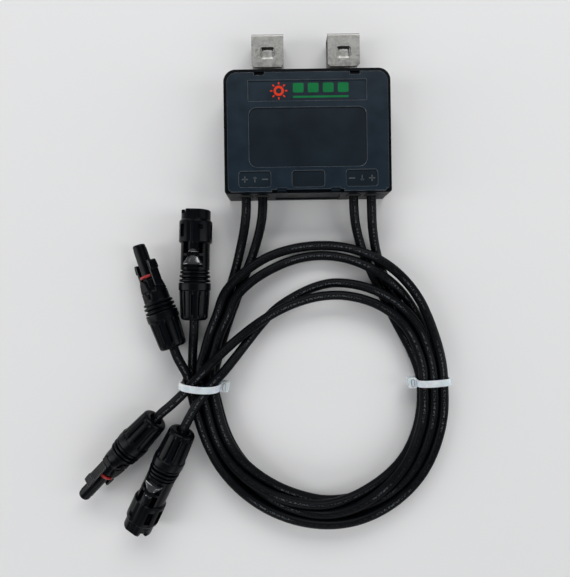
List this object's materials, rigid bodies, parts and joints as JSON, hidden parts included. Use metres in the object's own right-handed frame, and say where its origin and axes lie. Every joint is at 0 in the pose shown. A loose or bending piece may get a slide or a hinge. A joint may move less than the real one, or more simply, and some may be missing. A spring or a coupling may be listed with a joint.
{
  "type": "photovoltaic module optimizer",
  "caption": "Flat sealed DC electronics box for one solar panel, with steel frame clips and tied single-core leads ending in latching solar connectors.",
  "frame": {"origin": "centre of the footprint of the housing with its clips, on the plane of the housing back", "axes": "+Z out of the housing front cover, +Y from the leads towards the frame clips, +X to the right seen from the front with the clips up"},
  "size_m": [0.2383, 0.3171, 0.026],
  "materials": {
    "housing_plastic": "satin blue-black moulded plastic",
    "sealing_rubber": "matte black",
    "clip_steel": "plain spring steel sheet",
    "screw_steel": "plain steel",
    "board_laminate": "green solder mask",
    "thermal_gel": "soft grey pad",
    "ferrite": "sintered grey",
    "can_aluminium": "satin",
    "chip_resin": "matte black",
    "contact_brass": "plated",
    "cable_jacket": "satin black cross-linked jacket",
    "connector_plastic": "black moulded plastic",
    "tie_nylon": "milky white nylon",
    "red_seal": "red silicone"
  },
  "bodies": {
    "root": {"base_shell": "housing_plastic", "front_cover": "housing_plastic", "cover_gasket": "sealing_rubber", "frame_clip_left": "clip_steel", "frame_clip_right": "clip_steel", "clip_screw_left_1": "screw_steel", "clip_screw_left_2": "screw_steel", "clip_screw_right_1": "screw_steel", "clip_screw_right_2": "screw_steel", "circuit_board": "board_laminate", "board_screw_1": "screw_steel", "board_screw_2": "screw_steel", "thermal_pad": "thermal_gel", "power_inductor": "ferrite", "input_capacitor": "can_aluminium", "output_capacitor": "can_aluminium", "switch_transistor_1": "chip_resin", "switch_transistor_2": "chip_resin", "controller_chip": "chip_resin", "wire_terminal_1": "contact_brass", "wire_terminal_2": "contact_brass", "wire_terminal_3": "contact_brass", "wire_terminal_4": "contact_brass", "cable_grommet_1": "sealing_rubber", "cable_grommet_2": "sealing_rubber", "cable_grommet_3": "sealing_rubber", "cable_grommet_4": "sealing_rubber", "lead_in_positive": "cable_jacket", "lead_in_negative": "cable_jacket", "lead_out_negative": "cable_jacket", "lead_out_positive": "cable_jacket", "cable_tie_left": "tie_nylon", "cable_tie_right": "tie_nylon", "probe_upper_housing": "connector_plastic", "probe_upper_cable_seal": "sealing_rubber", "probe_upper_socket_contact": "contact_brass", "probe_upper_o_ring": "red_seal", "barrel_upper_housing": "connector_plastic", "barrel_upper_cable_seal": "sealing_rubber", "barrel_upper_pin_contact": "contact_brass", "probe_lower_housing": "connector_plastic", "probe_lower_cable_seal": "sealing_rubber", "probe_lower_socket_contact": "contact_brass", "probe_lower_o_ring": "red_seal", "barrel_lower_housing": "connector_plastic", "barrel_lower_cable_seal": "sealing_rubber", "barrel_lower_pin_contact": "contact_brass"},
    "probe_upper_cage": {"probe_upper_clamp_cage": "connector_plastic"},
    "probe_upper_nut": {"probe_upper_gland_nut": "connector_plastic"},
    "probe_upper_latch_left": {"probe_upper_latch_left": "connector_plastic"},
    "probe_upper_latch_right": {"probe_upper_latch_right": "connector_plastic"},
    "barrel_upper_cage": {"barrel_upper_clamp_cage": "connector_plastic"},
    "barrel_upper_nut": {"barrel_upper_gland_nut": "connector_plastic"},
    "probe_lower_cage": {"probe_lower_clamp_cage": "connector_plastic"},
    "probe_lower_nut": {"probe_lower_gland_nut": "connector_plastic"},
    "probe_lower_latch_left": {"probe_lower_latch_left": "connector_plastic"},
    "probe_lower_latch_right": {"probe_lower_latch_right": "connector_plastic"},
    "barrel_lower_cage": {"barrel_lower_clamp_cage": "connector_plastic"},
    "barrel_lower_nut": {"barrel_lower_gland_nut": "connector_plastic"}
  },
  "joints": [
    {"name": "probe_upper_cage_slide", "type": "slide", "parent": "root", "child": "probe_upper_cage", "axis": [0.314, -0.9494, 0], "range_m": [0, 0.00225]},
    {"name": "probe_upper_nut_turn", "type": "hinge", "parent": "probe_upper_cage", "child": "probe_upper_nut", "pos_m": [-0.0868, -0.1469, 0.0104], "axis": [0.314, -0.9494, 0], "range_deg": [0, 540]},
    {"name": "probe_upper_latch_left_flex", "type": "hinge", "parent": "root", "child": "probe_upper_latch_left", "pos_m": [-0.10512, -0.10925, 0.00538], "axis": [-0.6353, -0.2101, 0.7431], "range_deg": [-5, 0], "stiffness_Nm_per_rad": 0.3},
    {"name": "probe_upper_latch_right_flex", "type": "hinge", "parent": "root", "child": "probe_upper_latch_right", "pos_m": [-0.09454, -0.10575, 0.01542], "axis": [-0.6353, -0.2101, 0.7431], "range_deg": [0, 5], "stiffness_Nm_per_rad": 0.3},
    {"name": "barrel_upper_cage_slide", "type": "slide", "parent": "root", "child": "barrel_upper_cage", "axis": [-0.0332, -0.9995, 0], "range_m": [0, 0.00225]},
    {"name": "barrel_upper_nut_turn", "type": "hinge", "parent": "barrel_upper_cage", "child": "barrel_upper_nut", "pos_m": [-0.0735, -0.1295, 0.0106], "axis": [-0.0332, -0.9995, 0], "range_deg": [0, 540]},
    {"name": "probe_lower_cage_slide", "type": "slide", "parent": "root", "child": "probe_lower_cage", "axis": [0.6964, 0.7161, 0.0471], "range_m": [0, 0.00225]},
    {"name": "probe_lower_nut_turn", "type": "hinge", "parent": "probe_lower_cage", "child": "probe_lower_nut", "pos_m": [-0.098, -0.1917, 0.0124], "axis": [0.6964, 0.7161, 0.0471], "range_deg": [0, 540]},
    {"name": "probe_lower_latch_left_flex", "type": "hinge", "parent": "root", "child": "probe_lower_latch_left", "pos_m": [-0.124, -0.22381, 0.00396], "axis": [0.6044, -0.6206, 0.4994], "range_deg": [-5, 0], "stiffness_Nm_per_rad": 0.3},
    {"name": "probe_lower_latch_right_flex", "type": "hinge", "parent": "root", "child": "probe_lower_latch_right", "pos_m": [-0.1298, -0.21902, 0.01693], "axis": [0.6044, -0.6206, 0.4994], "range_deg": [0, 5], "stiffness_Nm_per_rad": 0.3},
    {"name": "barrel_lower_cage_slide", "type": "slide", "parent": "root", "child": "barrel_lower_cage", "axis": [0.4422, 0.8947, 0.0628], "range_m": [0, 0.00225]},
    {"name": "barrel_lower_nut_turn", "type": "hinge", "parent": "barrel_lower_cage", "child": "barrel_lower_nut", "pos_m": [-0.0805, -0.1986, 0.0148], "axis": [0.4422, 0.8947, 0.0628], "range_deg": [0, 540]}
  ],
  "couplings": [
    {"joint": "probe_upper_cage_slide", "follows": "probe_upper_nut_turn", "m_per_rad": 0.00023873},
    {"joint": "barrel_upper_cage_slide", "follows": "barrel_upper_nut_turn", "m_per_rad": 0.00023873},
    {"joint": "probe_lower_cage_slide", "follows": "probe_lower_nut_turn", "m_per_rad": 0.00023873},
    {"joint": "barrel_lower_cage_slide", "follows": "barrel_lower_nut_turn", "m_per_rad": 0.00023873}
  ]
}
